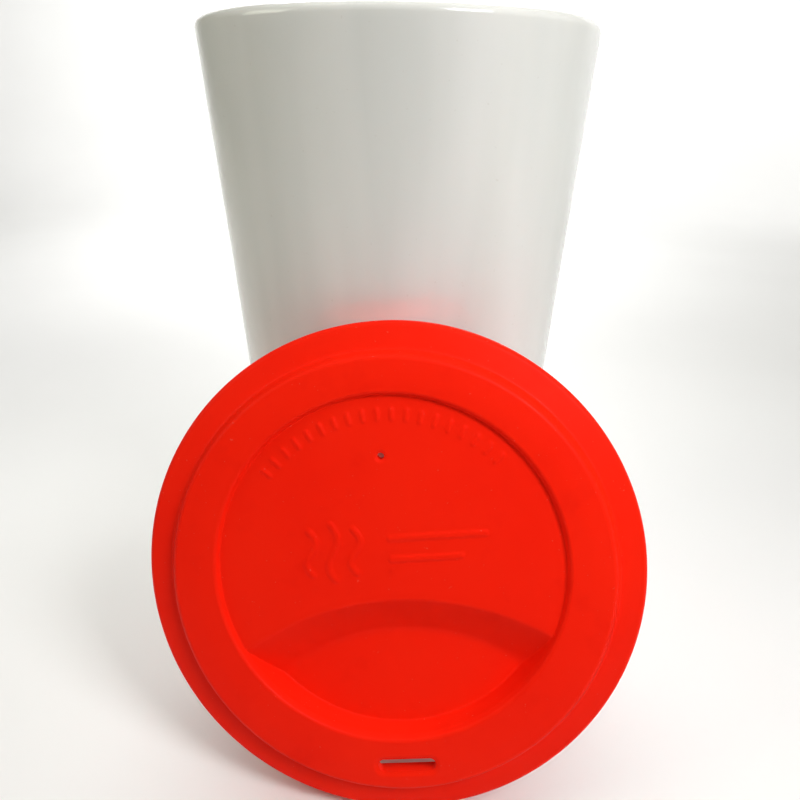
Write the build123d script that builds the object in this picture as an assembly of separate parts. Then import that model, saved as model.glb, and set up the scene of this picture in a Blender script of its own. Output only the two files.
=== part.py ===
from build123d import *
import math
import os

# Takeaway-shaped ceramic tumbler with a moulded silicone sip lid.
# Origin: the tumbler's axis on the table. +Z up, -Y is the front, where the lid leans.
# All lengths in millimetres, all angles in degrees.

# ---- tumbler ----
cup_height = 153.0
rim_radius = 45.0            # outside of the wall, produced to the top of the lip
base_radius = 33.0           # outside of the wall, produced to the table
wall = 4.0
lip_round = 1.7              # radius on both edges of the lip
foot_radius = 30.8           # outside of the ring that stands on the table
foot_width = 3.4
foot_step = 2.4              # height at which the foot meets the flared wall
base_recess = 1.6            # depth of the dished underside inside the foot
floor_thickness = 5.4        # from the dished underside to the inside floor
inside_corner = 9.0          # radius between the inside floor and the wall

# ---- lid, about its own axis, with z = 0 on the front of the brim ----
lid_radius = 50.0
brim_thickness = 2.6
skirt_depth = 8.0
skirt_mouth = 1.4            # how much wider the skirt's mouth is than its throat
brim_fall = 1.2              # how far the brim slopes back between the ring and its edge
brim_round = 1.3
lip_gap = 0.3                # between the tumbler's lip and the walls of the groove
plug_depth = 10.0
plug_thickness = 2.2
plug_taper = 0.7             # how much slimmer the plug is at its free end
ring_outer = 43.3            # raised drinking ring, across its top
ring_middle = 38.8           # outside this radius the ring's top falls away
ring_inner = 34.7
ring_rise = 2.8              # above the brim
ring_crown = 0.35            # fall of the ring's top towards its outer edge
outer_draft = 1.2            # lean of the ring's outer wall
inner_draft = 0.6            # lean of the ring's inner wall
disc_rise = 1.5              # the sunk disc inside the ring, above the brim
disc_shift = 1.6             # the disc is set this far off the lid's centre, away from the slot
shell = 2.2                  # moulded thickness of the lid's top
step_under = ring_inner + disc_shift / 2 + shell  # round step on the underside, below the ring

# ---- sip well, a lens-shaped pocket below the middle of the disc ----
well_arc_radius = 56.2       # top edge, as seen from the front
well_apex = -4.9             # nearest point of the top edge to the lid's centre
floor_arc_radius = 42.5      # foot of the sloping upper wall
floor_apex = -12.9
well_floor = -3.4            # level of the pocket's floor at its deepest, below the sloping wall
floor_tilt = 5.5             # the floor rises from there towards the slot
well_draft = 1.5             # lean of the pocket's lower wall
well_corner = 2.0            # rounding where the two arcs of the lens meet

# ---- holes in the lid ----
slot_place = 38.4            # distance of the sip slot from the centre
slot_length = 11.6
slot_width = 2.6
notch_width = 14.0           # gap in the plug behind the slot, where the drink comes through
notch_top = 0.4
vent_place = 23.9
vent_diameter = 1.4

# ---- how the lid leans against the tumbler ----
lean = 16.2                  # front of the lid looks up by this angle
turn = -1.5                  # front of the lid looks sideways by this angle
spin = 6.7                   # the slot lies this far round, towards +X
lid_offset = 3.5             # centre of the lid, towards +X
skirt_round = 1.0            # rounding of the skirt's back edge, which stands on the table
cup_gap = 0.5                # clear space at the leaning contact

standing = (Align.CENTER, Align.CENTER, Align.MIN)


def outer_wall(z):
    """Outside radius of the tumbler's flared wall at height z."""
    return base_radius + (rim_radius - base_radius) * z / cup_height


def revolved(outline):
    """Solid of revolution about Z from a closed (radius, height) outline."""
    return revolve(make_face(Polyline(*outline, close=True)), Axis.Z)


def edges_at(solid, radius, z, tolerance=0.25):
    """Circular edges of a turned solid with a given radius and height."""
    return [
        e
        for e in solid.edges().filter_by(GeomType.CIRCLE)
        if abs(e.radius - radius) < tolerance and abs(e.center().Z - z) < tolerance
    ]


def make_tumbler():
    """One fired piece: flared wall, rounded lip, thick floor and a foot ring."""
    floor_top = base_recess + floor_thickness
    inside_floor = outer_wall(floor_top) - wall
    inside_rim = rim_radius - wall
    foot_inside = foot_radius - foot_width
    outline = [
        (0, base_recess),
        (foot_inside - 1.0, base_recess),
        (foot_inside, 0),
        (foot_radius, 0),
        (outer_wall(foot_step), foot_step),
        (rim_radius, cup_height),
        (inside_rim, cup_height),
        (inside_floor, floor_top),
        (0, floor_top),
    ]
    outline = [(r, 0, z) for r, z in outline]
    body = revolved(outline)
    body = fillet(edges_at(body, rim_radius, cup_height), lip_round)
    body = fillet(edges_at(body, inside_rim, cup_height), lip_round)
    body = fillet(edges_at(body, inside_floor, floor_top), inside_corner)
    body = fillet(edges_at(body, outer_wall(foot_step), foot_step), 1.6)
    body = fillet(edges_at(body, foot_radius, 0), 0.8)
    body = fillet(edges_at(body, foot_inside, 0), 0.8)
    return body


def lid_blank():
    """Turned shape of the lid, with the sunk disc cut into it a little off its centre."""
    throat = rim_radius + lip_gap
    plug_outer = rim_radius - wall - lip_gap
    plug_inner = plug_outer - plug_thickness
    ring_under = ring_rise - shell
    disc_under = disc_rise - shell
    outline = [
        (0, disc_under),
        (step_under - inner_draft, disc_under),
        (step_under, ring_under),
        (ring_outer - shell - 1.2, ring_under),
        (plug_inner, -brim_thickness),
        (plug_inner - plug_taper, -plug_depth),
        (plug_outer - plug_taper, -plug_depth),
        (plug_outer, -brim_thickness),
        (throat, -brim_thickness),
        (throat + skirt_mouth, -skirt_depth),
        (lid_radius, -skirt_depth),
        (lid_radius, -brim_fall),
        (ring_outer + outer_draft, 0),
        (ring_outer, ring_rise - ring_crown),
        (ring_middle, ring_rise),
        (0, ring_rise),
    ]
    outline = [(r, 0, z) for r, z in outline]
    sunk = Cone(ring_inner - inner_draft, ring_inner, ring_rise - disc_rise, align=standing)
    blank = revolved(outline) - Pos(0, disc_shift, disc_rise) * sunk
    blank = fillet(edges_at(blank, lid_radius, -brim_fall), brim_round)
    blank = fillet(edges_at(blank, lid_radius, -skirt_depth), skirt_round)
    blank = fillet(edges_at(blank, throat + skirt_mouth, -skirt_depth), 0.9)
    blank = fillet(edges_at(blank, ring_outer, ring_rise - ring_crown), 1.2)
    blank = fillet(edges_at(blank, ring_outer + outer_draft, 0), 1.0)
    blank = fillet(edges_at(blank, ring_inner, ring_rise), 0.9)
    blank = fillet(edges_at(blank, plug_outer - plug_taper, -plug_depth), 0.7)
    blank = fillet(edges_at(blank, plug_inner - plug_taper, -plug_depth), 0.7)
    return blank


def lens_face(arc_radius, apex, circle_radius):
    """Lens between an arc that bulges towards +Y and a circle about the disc's centre."""
    arc_centre = apex - arc_radius
    arc_disc = Pos(0, arc_centre) * Circle(arc_radius)
    lens = Pos(0, disc_shift) * Circle(circle_radius) & arc_disc
    return fillet(lens.vertices(), well_corner)


def well_solid(grow, top, floor):
    """The well's pocket, or with grow > 0 the same form thickened for the shell below it."""
    upper_radius = ring_inner - inner_draft + grow
    upper = Pos(0, 0, top) * lens_face(well_arc_radius + grow, well_apex + grow, upper_radius)
    lower = lens_face(floor_arc_radius + grow, floor_apex + grow, upper_radius - well_draft)
    deepest = Pos(0, floor_apex, floor) * Rot(-floor_tilt, 0, 0) * Pos(0, -floor_apex, 0)
    return loft([upper, deepest * lower], ruled=True)


def make_lid():
    """Silicone lid in its own frame, drinking side towards -Y and top towards +Z."""
    body = lid_blank()
    body = body + well_solid(shell - 0.2, disc_rise - shell + 0.6, well_floor - shell)
    body = body - well_solid(0, disc_rise + 0.01, well_floor)
    slot = extrude(Pos(0, -slot_place, -0.2) * SlotOverall(slot_length, slot_width), 10)
    notch_depth = plug_thickness + 3.0
    notch_outer = rim_radius - wall - lip_gap + 0.5
    notch = Box(notch_width, notch_depth, plug_depth + 2, align=(Align.CENTER, Align.MIN, Align.MAX))
    notch = fillet(notch.edges().filter_by(Axis.Y).group_by(Axis.Z)[-1], 1.5)
    vent = Cylinder(vent_diameter / 2, 12)
    body = body - slot - Pos(0, -notch_outer, notch_top) * notch
    return body - Pos(0, vent_place, 0) * vent


def leaning_place():
    """Where the lid's frame lies when it stands on the table and leans on the tumbler."""
    tilt = math.radians(lean)
    round_centre = lid_radius - skirt_round
    round_depth = skirt_depth - skirt_round
    height = round_centre * math.cos(tilt) + round_depth * math.sin(tilt) + skirt_round
    contact_height = height + round_centre * math.cos(tilt) - round_depth * math.sin(tilt)
    back = round_centre * math.sin(tilt) + round_depth * math.cos(tilt) + skirt_round
    reach = outer_wall(contact_height) + cup_gap
    across = math.sqrt(reach**2 - lid_offset**2)
    facing = Rot(0, 0, turn) * Rot(90 - lean, 0, 0) * Rot(0, 0, spin)
    return Location((lid_offset, -(across + back), height)) * facing


os.makedirs("parts", exist_ok=True)
tumbler = make_tumbler()
lid = leaning_place() * make_lid()
tumbler.label = "ceramic_tumbler"
lid.label = "sip_lid"
export_step(tumbler, "parts/ceramic_tumbler.step")
export_step(lid, "parts/sip_lid.step")
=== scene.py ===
"""A white glazed ceramic tumbler with a red silicone sip lid leaning, face out, against its front."""

import math

import bmesh
import bpy
import numpy as np
from mathutils import Matrix, Vector


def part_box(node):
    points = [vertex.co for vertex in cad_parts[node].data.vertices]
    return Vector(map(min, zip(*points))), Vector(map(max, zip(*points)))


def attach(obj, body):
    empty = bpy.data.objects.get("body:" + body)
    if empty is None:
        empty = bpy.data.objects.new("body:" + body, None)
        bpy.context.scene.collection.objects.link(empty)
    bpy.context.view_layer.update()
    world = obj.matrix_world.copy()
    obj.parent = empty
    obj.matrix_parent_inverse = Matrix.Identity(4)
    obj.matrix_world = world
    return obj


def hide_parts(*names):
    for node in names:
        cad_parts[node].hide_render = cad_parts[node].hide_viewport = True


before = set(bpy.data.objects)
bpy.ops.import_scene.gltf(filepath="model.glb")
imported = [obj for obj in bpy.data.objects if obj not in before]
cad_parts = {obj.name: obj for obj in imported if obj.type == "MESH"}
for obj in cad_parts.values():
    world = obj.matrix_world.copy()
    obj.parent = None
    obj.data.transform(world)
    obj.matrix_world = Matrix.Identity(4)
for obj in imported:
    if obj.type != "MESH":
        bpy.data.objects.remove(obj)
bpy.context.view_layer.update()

MM = 0.001

# ---- the tumbler, from the frame where it can be ----
CUP_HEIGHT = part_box("ceramic_tumbler")[1][2] / MM
RIM_RADIUS = 45.0  # outside of the wall, produced to the top of the lip
BASE_RADIUS = 33.0  # outside of the wall, produced to the table
WALL = 4.0
LIP_ROUND = 1.7
FOOT_RADIUS = 30.8
FOOT_WIDTH = 3.4
FOOT_STEP = 2.4  # height at which the foot meets the flared wall
BASE_RECESS = 1.6  # depth of the dished underside inside the foot
FLOOR_THICKNESS = 5.4
INSIDE_CORNER = 9.0
FOOT_ROUND = 0.8  # radius on the edges of the foot ring and of the dished underside
FOOT_BLEND = 1.6  # radius where the foot meets the flared wall
TUMBLER_SEGMENTS = 288
TUMBLER_STEP = 3.0  # longest run between two rings of the turned mesh

# ---- the lid about its own axis, z = 0 on the front of the brim ----
LID_RADIUS = 50.0
BRIM_THICKNESS = 2.6
BRIM_FALL = 1.2  # how far the brim slopes back between the ring and its edge
SKIRT_DEPTH = 8.0
SKIRT_MOUTH = 1.4  # how much wider the skirt's mouth is than its throat
LIP_GAP = 0.3  # between the tumbler's lip and the walls of the groove
PLUG_DEPTH = 10.0
PLUG_THICKNESS = 2.2
PLUG_TAPER = 0.7  # how much slimmer the plug is at its free end
RING_OUTER = 43.3
RING_MIDDLE = 38.8  # outside this radius the ring's top falls away
RING_INNER = 34.7
RING_RISE = 2.8  # above the brim
RING_CROWN = 0.35  # fall of the ring's top towards its outer edge
OUTER_DRAFT = 1.2  # lean of the ring's outer wall
INNER_DRAFT = 0.6  # lean of the ring's inner wall
DISC_RISE = 1.5  # the sunk disc inside the ring, above the brim
DISC_SHIFT = 1.6  # the disc is set this far off the lid's centre, away from the slot
DISC_RADIUS = RING_INNER - INNER_DRAFT
SHELL = 2.2
STEP_UNDER = RING_INNER + DISC_SHIFT / 2 + SHELL  # round step on the underside, below the ring
WELL_ARC_RADIUS = 56.2  # top edge of the sip well, as seen from the front
WELL_APEX = -4.9  # nearest point of that edge to the lid's centre
FLOOR_ARC_RADIUS = 42.5  # foot of the well's sloping upper wall
FLOOR_APEX = -12.9
WELL_FLOOR = -3.4  # level of the well's floor at its deepest, below the sloping wall
FLOOR_TILT = 5.5  # degrees; the floor rises from there towards the slot
WELL_DRAFT = 1.1  # lean of the well's lower wall
SLOT_PLACE = 38.4  # distance of the sip slot from the lid's centre
SLOT_LENGTH = 11.6
SLOT_WIDTH = 2.6
NOTCH_WIDTH = 14.0  # gap in the plug behind the slot
NOTCH_TOP = 0.4
NOTCH_CORNER = 1.5
VENT_PLACE = 23.9
VENT_DIAMETER = 1.4
LID_SEGMENTS = 720
DISC_STEP, WALL_STEP, RING_STEP, BACK_STEP = 0.28, 0.12, 0.35, 1.2  # longest runs between rings

# ---- how the lid leans ----
LEAN = math.radians(16.2)  # its front looks up by this angle
TURN = math.radians(-1.5)  # its front looks sideways by this angle
SPIN = math.radians(6.7)  # the slot lies this far round, towards +X

# ---- eased rims of the two holes: how deep and how wide the dip round each one is ----
SLOT_DIP, SLOT_DIP_WIDTH = 0.45, 0.9
VENT_DIP, VENT_DIP_WIDTH = 0.22, 0.6

# ---- raised ornament on the disc ----
RELIEF_HEIGHT = 0.22
WISP_X, WISP_Y = -11.0, 5.4  # middle of the three wisps of steam
WISP_SPACING = 4.4
WISP_SWAY = 1.1
WISP_REACHES = (4.4, 5.6, 4.4)  # half the height of each wisp
WISP_HALF_WIDTH = 0.95
BARS = ((0.5, 19.0, 7.6), (0.5, 14.0, 3.4))  # left end, right end and level
BAR_HALF_WIDTH = 1.0
MARK_COUNT = 19  # short radial bars near the top of the disc
MARK_START, MARK_SWEEP = 42, 96  # degrees
MARK_INNER, MARK_OUTER = 29.6, 31.4
MARK_HALF_WIDTH = 0.7

# ---- backdrop, in millimetres ----
BACKDROP_RADIUS = 1300
BACKDROP_HEIGHT = 1500
BACKDROP_SWEEP = 500  # radius of the curve between the table and the upright part
BACKDROP_SIDES = 96
TABLE_DROP = 0.2  # the table lies this far under the foot, so that no two faces coincide

# ---- camera, in metres and degrees ----
CAMERA_PLACE = (0.01266, -0.17417, 0.13657)
CAMERA_YAW, CAMERA_PITCH, CAMERA_ROLL = -2.881, 21.265, 0.673
CAMERA_LENS = 30.926
CAMERA_SENSOR = 36
CAMERA_SHIFT_X, CAMERA_SHIFT_Y = -0.0149, -0.0350


# ---------------------------------------------------------------- mesh helpers


def rounded(points, radii, steps=7):
    """A (radius, height) outline with the corner at each point rounded by its radius."""
    out = []
    for i, (here, r) in enumerate(zip(points, radii)):
        here = np.array(here, float)
        if r <= 0 or i in (0, len(points) - 1):
            out.append(here)
            continue
        before = np.array(points[i - 1], float) - here
        after = np.array(points[i + 1], float) - here
        before /= np.linalg.norm(before)
        after /= np.linalg.norm(after)
        half = math.acos(np.clip(before @ after, -1, 1)) / 2
        start = here + before * r / math.tan(half)
        bisector = (before + after) / np.linalg.norm(before + after)
        centre = here + bisector * r / math.sin(half)
        a = start - centre
        sweep = math.pi - 2 * half
        turn = math.copysign(1, before[0] * after[1] - before[1] * after[0])
        for k in range(steps + 1):
            t = -turn * sweep * k / steps
            turned_x = a[0] * math.cos(t) - a[1] * math.sin(t)
            turned_y = a[0] * math.sin(t) + a[1] * math.cos(t)
            out.append(centre + np.array([turned_x, turned_y]))
    return np.array(out)


def refined(outline, step):
    """The outline with extra points, so that no run between two of them is longer than step."""
    out = [outline[0]]
    for a, b in zip(outline[:-1], outline[1:]):
        n = max(1, math.ceil(np.linalg.norm(b - a) / step))
        for k in range(1, n + 1):
            out.append(a + (b - a) * k / n)
    return np.array(out)


def turned_mesh(name, outline, segments, shape=None):
    """A closed turned mesh in millimetres. The outline starts and ends on the axis.

    shape, if given, takes the x, y, z arrays of all rings and returns them changed.
    """
    radius, height = outline[1:-1, 0], outline[1:-1, 1]
    angle = np.linspace(0, 2 * math.pi, segments, endpoint=False)
    x = radius[:, None] * np.cos(angle)
    y = radius[:, None] * np.sin(angle)
    z = np.repeat(height[:, None], segments, axis=1)
    if shape:
        x, y, z = shape(x, y, z)
    rings = len(radius)
    verts = np.stack([x, y, z], -1).reshape(-1, 3)
    ends = np.array([[0, 0, outline[0, 1]], [0, 0, outline[-1, 1]]])
    verts = np.vstack([verts, ends]) * MM
    column = np.arange(segments)
    following = (column + 1) % segments
    faces = []
    for ring in range(rings - 1):
        a, b = ring * segments, (ring + 1) * segments
        faces += np.stack([a + column, b + column, b + following, a + following], 1).tolist()
    first, last = rings * segments, rings * segments + 1
    faces += [(first, c, d) for c, d in zip(column.tolist(), following.tolist())]
    base = (rings - 1) * segments
    faces += [(last, base + d, base + c) for c, d in zip(column.tolist(), following.tolist())]
    mesh = bpy.data.meshes.new(name)
    mesh.from_pydata(verts.tolist(), [], faces)
    mesh.update()
    return mesh


def add_object(name, mesh, material):
    """A smooth-shaded object with outward faces and one material."""
    work = bmesh.new()
    work.from_mesh(mesh)
    bmesh.ops.recalc_face_normals(work, faces=work.faces)
    work.to_mesh(mesh)
    work.free()
    mesh.shade_smooth()
    obj = bpy.data.objects.new(name, mesh)
    bpy.context.collection.objects.link(obj)
    mesh.materials.append(material)
    return obj


def sharpen(mesh, degrees):
    """Marks edges sharper than the angle, so that cut holes keep a crisp rim."""
    work = bmesh.new()
    work.from_mesh(mesh)
    for edge in work.edges:
        if len(edge.link_faces) == 2 and edge.calc_face_angle() > math.radians(degrees):
            edge.smooth = False
    work.to_mesh(mesh)
    work.free()


def cut(obj, cutter):
    """Takes the cutter's volume out of the object and deletes the cutter."""
    modifier = obj.modifiers.new("cut", "BOOLEAN")
    modifier.operation = "DIFFERENCE"
    modifier.solver = "EXACT"
    modifier.object = cutter
    bpy.context.view_layer.update()
    graph = bpy.context.evaluated_depsgraph_get()
    result = bpy.data.meshes.new_from_object(obj.evaluated_get(graph))
    obj.modifiers.clear()
    old = obj.data
    obj.data = result
    bpy.data.meshes.remove(old)
    bpy.data.objects.remove(cutter)


def prism(name, outline, low, high):
    """A straight-sided cutter over a closed (x, y) outline, in millimetres."""
    n = len(outline)
    verts = [(x * MM, y * MM, low * MM) for x, y in outline]
    verts += [(x * MM, y * MM, high * MM) for x, y in outline]
    faces = [tuple(reversed(range(n))), tuple(range(n, 2 * n))]
    faces += [(i, (i + 1) % n, n + (i + 1) % n, n + i) for i in range(n)]
    mesh = bpy.data.meshes.new(name)
    mesh.from_pydata(verts, [], faces)
    mesh.update()
    obj = bpy.data.objects.new(name, mesh)
    bpy.context.collection.objects.link(obj)
    return obj


# ------------------------------------------------------------------- materials


class Shader:
    """A small helper for building one node material."""

    def __init__(self, name):
        self.material = bpy.data.materials.new(name)
        self.material.use_nodes = True
        self.tree = self.material.node_tree
        self.principled = self.tree.nodes["Principled BSDF"]
        self.place = self.node("ShaderNodeTexCoord").outputs["Object"]

    def node(self, kind, **settings):
        """Adds a node and gives it its settings."""
        made = self.tree.nodes.new(kind)
        for key, value in settings.items():
            setattr(made, key, value)
        return made

    def link(self, source, target):
        self.tree.links.new(source, target)

    def noise(self, scale, detail=2.0, roughness=0.5, stretch=(1, 1, 1)):
        """Noise of about this many waves a metre; a small stretch makes it longer along that axis."""
        mapping = self.node("ShaderNodeMapping")
        mapping.inputs["Scale"].default_value = stretch
        self.link(self.place, mapping.inputs["Vector"])
        noise = self.node("ShaderNodeTexNoise")
        noise.inputs["Scale"].default_value = scale
        noise.inputs["Detail"].default_value = detail
        noise.inputs["Roughness"].default_value = roughness
        self.link(mapping.outputs["Vector"], noise.inputs["Vector"])
        return noise.outputs["Fac"]

    def remap(self, value, low, high, new_low, new_high):
        """Maps low to new_low and high to new_high, and holds the value between the two."""
        node = self.node("ShaderNodeMapRange")
        node.inputs["From Min"].default_value = low
        node.inputs["From Max"].default_value = high
        node.inputs["To Min"].default_value = new_low
        node.inputs["To Max"].default_value = new_high
        self.link(value, node.inputs["Value"])
        return node.outputs["Result"]

    def blend(self, factor, first, second):
        """Mixes two colours, each an (r, g, b) or a socket."""
        mix = self.node("ShaderNodeMix", data_type="RGBA")
        self.link(factor, mix.inputs["Factor"])
        for socket, value in ((mix.inputs[6], first), (mix.inputs[7], second)):
            if isinstance(value, tuple):
                socket.default_value = (*value, 1)
            else:
                self.link(value, socket)
        return mix.outputs[2]

    def maths(self, operation, first, second):
        """A maths node on two values, each a number or a socket."""
        node = self.node("ShaderNodeMath", operation=operation)
        for socket, value in zip(node.inputs, (first, second)):
            if isinstance(value, (int, float)):
                socket.default_value = value
            else:
                self.link(value, socket)
        return node.outputs[0]

    def bump(self, height, distance, under=None):
        """Relief of this height in metres, on top of the relief given as under."""
        node = self.node("ShaderNodeBump")
        node.inputs["Distance"].default_value = distance
        self.link(height, node.inputs["Height"])
        if under:
            self.link(under, node.inputs["Normal"])
        return node.outputs["Normal"]

    def set(self, name, value):
        """Sets a number or colour on the shader's own input, or links a socket to it."""
        socket = self.principled.inputs[name]
        if hasattr(value, "is_output"):
            self.link(value, socket)
        else:
            socket.default_value = value


def glaze_material():
    """Clear gloss glaze over a white body, thinner and warmer at the lip, where the lighter band is
    also a painted highlight, and bare under the foot.
    """
    s = Shader("white_glaze")
    parts = s.node("ShaderNodeSeparateXYZ")
    s.link(s.place, parts.inputs["Vector"])
    height = parts.outputs["Z"]
    cool_white, warm_white = (0.765, 0.775, 0.745), (0.800, 0.800, 0.765)
    mottle = s.remap(s.noise(34, 3), 0.35, 0.65, 0, 1)
    body = s.blend(mottle, cool_white, warm_white)
    streaks = s.remap(s.noise(75, 2, stretch=(1, 1, 0.05)), 0.42, 0.66, 0, 0.65)
    body = s.blend(streaks, body, (0.690, 0.705, 0.675))
    runs = s.remap(s.noise(48, 1, stretch=(1, 1, 0.09)), 0.54, 0.68, 0, 0.5)
    body = s.blend(runs, body, (0.845, 0.845, 0.820))
    # warmer tone of the thinner glaze at the lip, painted lighter as well: partly real glaze tone,
    # partly a painted highlight where the rounded lip catches the light
    lip = s.remap(height, (CUP_HEIGHT - 2.6) * MM, (CUP_HEIGHT - 0.4) * MM, 0, 0.35)
    body = s.blend(lip, body, (0.86, 0.84, 0.79))
    specks = s.remap(s.noise(1100, 1), 0.76, 0.78, 0, 0.25)
    body = s.blend(specks, body, (0.60, 0.58, 0.52))
    bare = s.remap(height, 0.9 * MM, 0.35 * MM, 0, 1)
    body = s.blend(bare, body, (0.76, 0.72, 0.64))
    s.set("Base Color", body)
    gloss = s.remap(s.noise(140, 2), 0.3, 0.7, 0.08, 0.16)
    bare_roughness = s.remap(height, 0.9 * MM, 0.35 * MM, 0, 0.75)
    s.set("Roughness", s.maths("MAXIMUM", gloss, bare_roughness))
    s.set("IOR", 1.5)
    s.set("Subsurface Weight", 0.08)
    s.set("Subsurface Radius", (0.004, 0.0036, 0.003))
    s.set("Subsurface Scale", 0.5)
    wavy = s.bump(s.noise(52, 1.5, stretch=(1, 1, 0.25)), 0.00022)
    peel = s.bump(s.noise(420, 2), 0.000006, under=wavy)
    s.set("Normal", peel)
    return s.material


def silicone_material():
    """Moulded red silicone: satin, slightly translucent, with a fine matt grain and faint lint."""
    s = Shader("red_silicone")
    deep_red, light_red = (0.945, 0.0125, 0.0024), (0.975, 0.0155, 0.0030)
    cloud = s.remap(s.noise(45, 3), 0.3, 0.7, 0, 1)
    body = s.blend(cloud, deep_red, light_red)
    dull = s.remap(s.noise(110, 3, 0.6), 0.58, 0.74, 0, 0.35)
    body = s.blend(dull, body, (0.85, 0.009, 0.0015))
    lint = s.remap(s.noise(1700, 1), 0.765, 0.785, 0, 0.25)
    body = s.blend(lint, body, (0.90, 0.20, 0.15))
    s.set("Base Color", body)
    s.set("Roughness", s.remap(s.noise(220, 3), 0.3, 0.7, 0.42, 0.52))
    s.set("IOR", 1.43)
    s.set("Specular IOR Level", 0.07)
    s.set("Subsurface Weight", 0.10)
    s.set("Subsurface Radius", (0.005, 0.0010, 0.0006))
    s.set("Subsurface Scale", 0.3)
    soft = s.bump(s.noise(90, 2), 0.00008)
    grain = s.bump(s.noise(3200, 2), 0.000008, under=soft)
    s.set("Normal", grain)
    return s.material


def table_material():
    """Plain pale table and backdrop; far off to the left and the front they are painted dark, a
    painted shade that stands for a darker room and darkens the glaze's reflections.
    """
    s = Shader("pale_table")
    parts = s.node("ShaderNodeSeparateXYZ")
    s.link(s.place, parts.inputs["Vector"])
    across, along = parts.outputs["X"], parts.outputs["Y"]
    cloud = s.remap(s.noise(6, 2), 0.3, 0.7, 0, 1)
    pale = s.blend(cloud, (0.84, 0.84, 0.835), (0.87, 0.87, 0.865))
    # painted shade: the far left and the front of the table and backdrop are painted dark in place of
    # a darker room
    left = s.remap(across, -0.74, -0.95, 0, 1)
    front = s.remap(along, -0.30, -0.62, 0, 1)
    painted_room_shade = s.maths("MAXIMUM", left, front)
    s.set("Base Color", s.blend(painted_room_shade, pale, (0.16, 0.155, 0.13)))
    s.set("Roughness", 0.55)
    return s.material


# --------------------------------------------------------------------- tumbler


def outer_wall(z):
    """Outside radius of the flared wall at height z."""
    return BASE_RADIUS + (RIM_RADIUS - BASE_RADIUS) * z / CUP_HEIGHT


def make_tumbler(material):
    """The fired piece, turned from its section."""
    floor_top = BASE_RECESS + FLOOR_THICKNESS
    foot_inside = FOOT_RADIUS - FOOT_WIDTH
    section = [
        (0, BASE_RECESS, 0),
        (foot_inside - 1.0, BASE_RECESS, FOOT_ROUND),
        (foot_inside, 0, FOOT_ROUND),
        (FOOT_RADIUS, 0, FOOT_ROUND),
        (outer_wall(FOOT_STEP), FOOT_STEP, FOOT_BLEND),
        (RIM_RADIUS, CUP_HEIGHT, LIP_ROUND),
        (RIM_RADIUS - WALL, CUP_HEIGHT, LIP_ROUND),
        (outer_wall(floor_top) - WALL, floor_top, INSIDE_CORNER),
        (0, floor_top, 0),
    ]
    outline = rounded([(r, z) for r, z, _ in section], [e for _, _, e in section], steps=12)
    mesh = turned_mesh("tumbler_body", refined(outline, TUMBLER_STEP), TUMBLER_SEGMENTS)
    return add_object("tumbler_body", mesh, material)


# ------------------------------------------------------------------------- lid


def smooth_min(a, b, blend):
    """The smaller of two arrays, with the crease between them rounded over blend."""
    h = np.clip(0.5 + 0.5 * (b - a) / blend, 0, 1)
    return b + (a - b) * h - blend * h * (1 - h)


def ramp(value, low, high):
    """0 below low, 1 above high, smooth in between."""
    t = np.clip((value - low) / (high - low), 0, 1)
    return t * t * (3 - 2 * t)


def well_depth(x, y, grow, soft_wall, soft_floor, soft_rim):
    """Depth of the sip well below the disc, or with grow > 0 of the shell that hangs under it."""
    full = DISC_RISE - WELL_FLOOR - (FLOOR_APEX - y) * math.tan(math.radians(FLOOR_TILT))
    inside_top = WELL_ARC_RADIUS + grow - np.hypot(x, y - (WELL_APEX - WELL_ARC_RADIUS))
    inside_floor = FLOOR_ARC_RADIUS + grow - np.hypot(x, y - (FLOOR_APEX - FLOOR_ARC_RADIUS))
    slope = np.where(
        inside_floor >= 0, 1.0, inside_top / np.maximum(inside_top - inside_floor, 1e-6)
    )
    upper = full * slope + np.maximum(inside_floor, 0) * 0.5
    wall = (DISC_RADIUS + grow - np.hypot(x, y - DISC_SHIFT)) / WELL_DRAFT * full
    depth = smooth_min(smooth_min(upper, wall, soft_wall), full, soft_floor)
    return -smooth_min(-depth, np.zeros_like(x), soft_rim)


def stroke(x, y, path, half_width):
    """Height share of a rounded raised line along a path of points."""
    nearest = np.full(x.shape, 1e9)
    for a, b in zip(path[:-1], path[1:]):
        d = b - a
        t = np.clip(((x - a[0]) * d[0] + (y - a[1]) * d[1]) / (d @ d), 0, 1)
        nearest = np.minimum(nearest, np.hypot(x - a[0] - d[0] * t, y - a[1] - d[1] * t))
    return 1 - ramp(nearest, half_width * 0.2, half_width)


def relief(x, y):
    """Plain raised ornament: wisps of steam, two straight bars, and short bars round the disc."""
    height = np.zeros_like(x)
    rise = np.linspace(-1, 1, 33)
    for i, reach in zip((-1, 0, 1), WISP_REACHES):
        sway = WISP_SWAY * np.sin(rise * math.pi)
        path = np.stack([WISP_X + i * WISP_SPACING + sway, WISP_Y + rise * reach], 1)
        height = np.maximum(height, stroke(x, y, path, WISP_HALF_WIDTH))
    for low, high, level in BARS:
        path = np.array([[low, level], [high, level]])
        height = np.maximum(height, stroke(x, y, path, BAR_HALF_WIDTH))
    for k in range(MARK_COUNT):
        a = math.radians(MARK_START + MARK_SWEEP * k / (MARK_COUNT - 1))
        radial = np.array([math.cos(a), math.sin(a)])
        path = np.stack([radial * MARK_INNER, radial * MARK_OUTER]) + [0, DISC_SHIFT]
        height = np.maximum(height, stroke(x, y, path, MARK_HALF_WIDTH))
    return height


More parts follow.
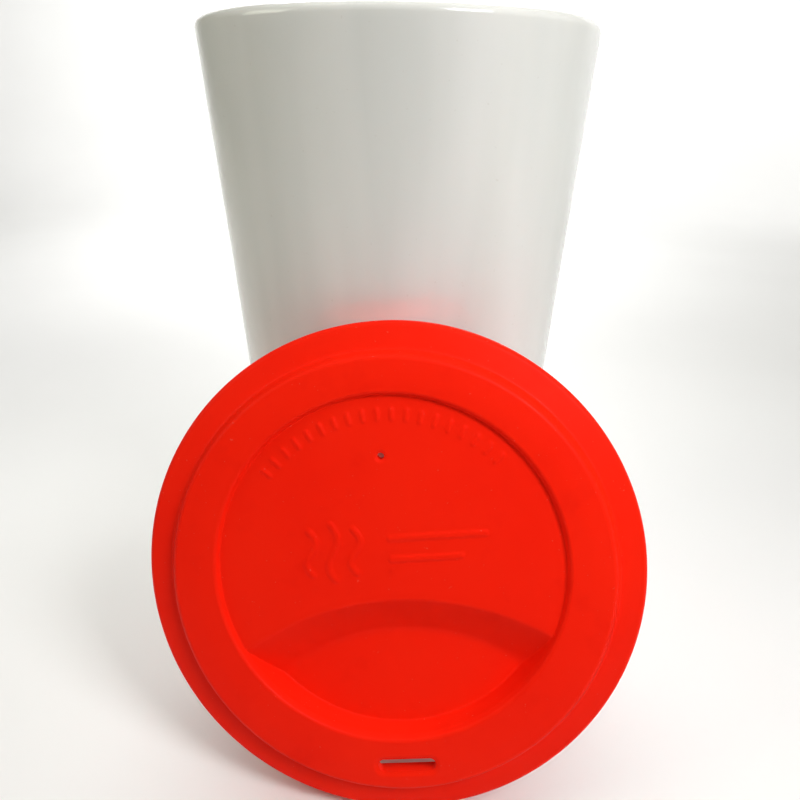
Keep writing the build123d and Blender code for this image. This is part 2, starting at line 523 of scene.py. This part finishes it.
def lid_surface(x, y, z, top_rings):
    """Shifts the disc off centre, then adds the sip well, the relief and the holes' eased rims."""
    x, y, z = x.copy(), y.copy(), z.copy()
    top = slice(0, top_rings)
    radius = np.hypot(x[top], y[top])
    y[top] += DISC_SHIFT * (1 - ramp(radius, RING_INNER + 1.0, RING_MIDDLE + 0.5))
    on_disc = radius < DISC_RADIUS + 0.01
    px, py = x[top], y[top]
    well = well_depth(px, py, grow=0, soft_wall=0.5, soft_floor=0.6, soft_rim=0.3)
    z[top] -= np.where(on_disc, well, 0)
    z[top] += np.where(on_disc, RELIEF_HEIGHT * relief(px, py), 0)
    along = np.maximum(np.abs(px) - (SLOT_LENGTH - SLOT_WIDTH) / 2, 0)
    from_slot = np.hypot(along, py + SLOT_PLACE) - SLOT_WIDTH / 2
    z[top] -= SLOT_DIP * (1 - ramp(from_slot, 0, SLOT_DIP_WIDTH))
    from_vent = np.hypot(px, py - VENT_PLACE) - VENT_DIAMETER / 2
    z[top] -= VENT_DIP * (1 - ramp(from_vent, 0, VENT_DIP_WIDTH))
    return x, y, z


def lid_section():
    """The lid's section as (radius, height, rounding), over the top and back under to the axis."""
    throat = RIM_RADIUS + LIP_GAP
    plug_outer = RIM_RADIUS - WALL - LIP_GAP
    plug_inner = plug_outer - PLUG_THICKNESS
    return [
        (0, DISC_RISE, 0),
        (DISC_RADIUS - WELL_DRAFT - 0.5, DISC_RISE, 0),
        (DISC_RADIUS, DISC_RISE, 0.3),
        (RING_INNER, RING_RISE, 0.9),
        (RING_MIDDLE, RING_RISE, 30),
        (RING_OUTER, RING_RISE - RING_CROWN, 1.2),
        (RING_OUTER + OUTER_DRAFT, 0, 1.0),
        (LID_RADIUS, -BRIM_FALL, 1.3),
        (LID_RADIUS, -SKIRT_DEPTH, 1.0),
        (throat + SKIRT_MOUTH, -SKIRT_DEPTH, 0.9),
        (throat, -BRIM_THICKNESS, 0.5),
        (plug_outer, -BRIM_THICKNESS, 0.4),
        (plug_outer - PLUG_TAPER, -PLUG_DEPTH, 0.7),
        (plug_inner - PLUG_TAPER, -PLUG_DEPTH, 0.7),
        (plug_inner, -BRIM_THICKNESS, 0.8),
        (RING_OUTER - SHELL - 1.2, RING_RISE - SHELL, 0.6),
        (STEP_UNDER, RING_RISE - SHELL, 0.5),
        (STEP_UNDER - INNER_DRAFT, DISC_RISE - SHELL, 0.5),
        (0, DISC_RISE - SHELL, 0),
    ]


def lid_outline():
    """The rounded section with fine steps on top, and how many of its rings are on top."""
    section = lid_section()
    outline = rounded([(r, z) for r, z, _ in section], [e for _, _, e in section])
    wall_start = int(np.argmax(outline[:, 0] > DISC_RADIUS - WELL_DRAFT - 0.6))
    wall_end = int(np.argmax(outline[:, 0] > RING_INNER + 1.0))
    edge = int(np.argmax(outline[:, 1] < -BRIM_FALL - 0.6))
    disc = refined(outline[: wall_start + 1], DISC_STEP)
    wall = refined(outline[wall_start : wall_end + 1], WALL_STEP)
    ring = refined(outline[wall_end : edge + 1], RING_STEP)
    back = refined(outline[edge:], BACK_STEP)
    full = np.vstack([disc, wall[1:], ring[1:], back[1:]])
    return full, len(disc) + len(wall) + len(ring) - 3


def slot_outline():
    """The sip slot: two half circles joined by straight sides."""
    half = (SLOT_LENGTH - SLOT_WIDTH) / 2
    reach = SLOT_WIDTH / 2
    points = []
    for side in (1, -1):
        for k in range(17):
            a = math.radians(-90 * side + 180 * k / 16)
            points.append((side * half + reach * math.cos(a), -SLOT_PLACE + reach * math.sin(a)))
    return points


def vent_outline():
    """The round vent hole."""
    radius = VENT_DIAMETER / 2
    angles = [math.radians(a) for a in range(0, 360, 12)]
    return [(radius * math.cos(a), VENT_PLACE + radius * math.sin(a)) for a in angles]


def notch_cutter():
    """The gap in the plug behind the slot, with its two upper corners rounded."""
    half, corner = NOTCH_WIDTH / 2, NOTCH_CORNER
    low = -PLUG_DEPTH - 2
    points = [(-half, low), (half, low)]
    for centre, start in ((half - corner, 0), (corner - half, 90)):
        for k in range(7):
            a = math.radians(start + 90 * k / 6)
            level = NOTCH_TOP - corner + corner * math.sin(a)
            points.append((centre + corner * math.cos(a), level))
    outer = RIM_RADIUS - WALL - LIP_GAP + 0.5
    cutter = prism("notch_cutter", points, outer - PLUG_THICKNESS - 3.0, outer)
    cutter.data.transform(Matrix.Rotation(math.pi / 2, 4, "X"))
    return cutter


def make_lid(material):
    """The moulded lid, turned from its section, shaped, and cut through at its openings."""
    outline, top_rings = lid_outline()

    def shape(x, y, z):
        """Shapes the top, then lets the shell's underside follow the well."""
        x, y, z = lid_surface(x, y, z, top_rings)
        under = slice(top_rings, None)
        flat = np.abs(z[under] - (DISC_RISE - SHELL)) < 0.3
        inside = np.hypot(x[under], y[under]) < STEP_UNDER
        bulge = well_depth(
            x[under], y[under], grow=SHELL - 0.2, soft_wall=0.8, soft_floor=1.0, soft_rim=0.5
        )
        z[under] -= np.where(flat & inside, bulge, 0)
        return x, y, z

    mesh = turned_mesh("lid_moulding", outline, LID_SEGMENTS, shape)
    lid = add_object("lid_moulding", mesh, material)
    cut(lid, prism("slot_cutter", slot_outline(), -0.2, RING_RISE + 4))
    cut(lid, notch_cutter())
    cut(lid, prism("vent_cutter", vent_outline(), -9, 9))
    sharpen(lid.data, 38)
    return lid


def lean_lid(lid):
    """Turns the lid to its leaning pose and sets its box on the CAD node's box."""
    facing = (
        Matrix.Rotation(TURN, 4, "Z")
        @ Matrix.Rotation(math.pi / 2 - LEAN, 4, "X")
        @ Matrix.Rotation(SPIN, 4, "Z")
    )
    lid.data.transform(facing)
    count = len(lid.data.vertices)
    flat = np.empty(count * 3)
    lid.data.vertices.foreach_get("co", flat)
    points = flat.reshape(-1, 3)
    low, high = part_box("sip_lid")
    want = (Vector(low) + Vector(high)) / 2
    have = Vector((points.min(0) + points.max(0)) / 2)
    lid.data.transform(Matrix.Translation(want - have))


# ----------------------------------------------------------------------- scene


def add_light(name, place, aim, size, power, spread=180, colour=(1, 1, 1)):
    """A square area light at a place, turned towards its aim; spread in degrees."""
    light = bpy.data.lights.new(name, "AREA")
    light.energy = power
    light.color = colour
    light.size = size
    light.spread = math.radians(spread)
    obj = bpy.data.objects.new(name, light)
    bpy.context.collection.objects.link(obj)
    obj.location = place
    obj.rotation_euler = (Vector(aim) - Vector(place)).to_track_quat("-Z", "Y").to_euler()


def make_table(material):
    """A pale table that sweeps up into a round pale backdrop."""
    corner = (BACKDROP_RADIUS, 0)
    top = (BACKDROP_RADIUS, BACKDROP_HEIGHT)
    sweep = rounded([(0, 0), corner, top], [0, BACKDROP_SWEEP, 0], steps=24)
    angle = np.linspace(0, 2 * math.pi, BACKDROP_SIDES, endpoint=False)
    radius, height = sweep[1:, 0], sweep[1:, 1]
    verts = [(0, 0, 0)]
    for r, z in zip(radius, height):
        verts += [(r * math.cos(a) * MM, r * math.sin(a) * MM, z * MM) for a in angle]
    column = [(k, (k + 1) % BACKDROP_SIDES) for k in range(BACKDROP_SIDES)]
    faces = [(0, 1 + k, 1 + after) for k, after in column]
    for ring in range(len(radius) - 1):
        a, b = 1 + ring * BACKDROP_SIDES, 1 + (ring + 1) * BACKDROP_SIDES
        faces += [(a + k, b + k, b + after, a + after) for k, after in column]
    mesh = bpy.data.meshes.new("table")
    mesh.from_pydata(verts, [], faces)
    mesh.shade_smooth()
    mesh.materials.append(material)
    table = bpy.data.objects.new("table", mesh)
    bpy.context.collection.objects.link(table)
    table.location.z = -TABLE_DROP * MM


def make_world():
    """An even, slightly warm sky."""
    world = bpy.data.worlds.new("studio")
    world.use_nodes = True
    background = world.node_tree.nodes["Background"]
    background.inputs["Color"].default_value = (1.0, 0.99, 0.93, 1)
    background.inputs["Strength"].default_value = 0.58
    bpy.context.scene.world = world


def make_lights():
    """Key from the front right, weak top and left fill, two for the backdrop, one for the floor."""
    add_light("key", (0.20, -0.23, 0.31), (0.03, -0.04, 0.08), 0.12, 0.190, spread=76)
    add_light("top", (-0.05, -0.02, 0.60), (0, -0.04, 0.08), 0.40, 0.30)
    creamy = (1.0, 1.0, 0.84)
    add_light("fill", (-0.38, -0.15, 0.28), (-0.02, 0, 0.12), 0.20, 0.080, 70, creamy)
    add_light("backdrop_right", (0.6, 0.75, 0.55), (0.5, 1.3, 0.1), 0.5, 1.6)
    add_light("backdrop_middle", (-0.15, 0.75, 0.60), (-0.2, 1.3, 0.1), 0.5, 4.2)
    add_light("behind", (-0.05, 0.60, 0.50), (-0.08, 0.28, 0), 0.40, 1.1, spread=100)


def make_camera():
    """The camera is close to the tumbler, a little below its rim, and looks down at the lid."""
    yaw, pitch, roll = (math.radians(a) for a in (CAMERA_YAW, CAMERA_PITCH, CAMERA_ROLL))
    ahead = math.cos(pitch)
    forward = Vector((math.sin(yaw) * ahead, math.cos(yaw) * ahead, -math.sin(pitch)))
    right = forward.cross(Vector((0, 0, 1))).normalized()
    up = right.cross(forward)
    tilted_right = right * math.cos(roll) + up * math.sin(roll)
    tilted_up = up * math.cos(roll) - right * math.sin(roll)
    basis = Matrix((tilted_right, tilted_up, -forward)).transposed().to_4x4()
    data = bpy.data.cameras.new("camera")
    data.sensor_width = CAMERA_SENSOR
    data.lens = CAMERA_LENS
    data.shift_x = CAMERA_SHIFT_X
    data.shift_y = CAMERA_SHIFT_Y
    data.clip_start = 0.01
    camera = bpy.data.objects.new("camera", data)
    bpy.context.collection.objects.link(camera)
    camera.matrix_world = Matrix.Translation(Vector(CAMERA_PLACE)) @ basis
    bpy.context.scene.camera = camera


glaze = glaze_material()
silicone = silicone_material()

tumbler = make_tumbler(glaze)
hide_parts("ceramic_tumbler")
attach(tumbler, "tumbler")

lid = make_lid(silicone)
lean_lid(lid)
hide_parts("sip_lid")
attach(lid, "lid")

make_table(table_material())
make_world()
make_lights()
make_camera()
bpy.context.scene.view_settings.view_transform = "Standard"
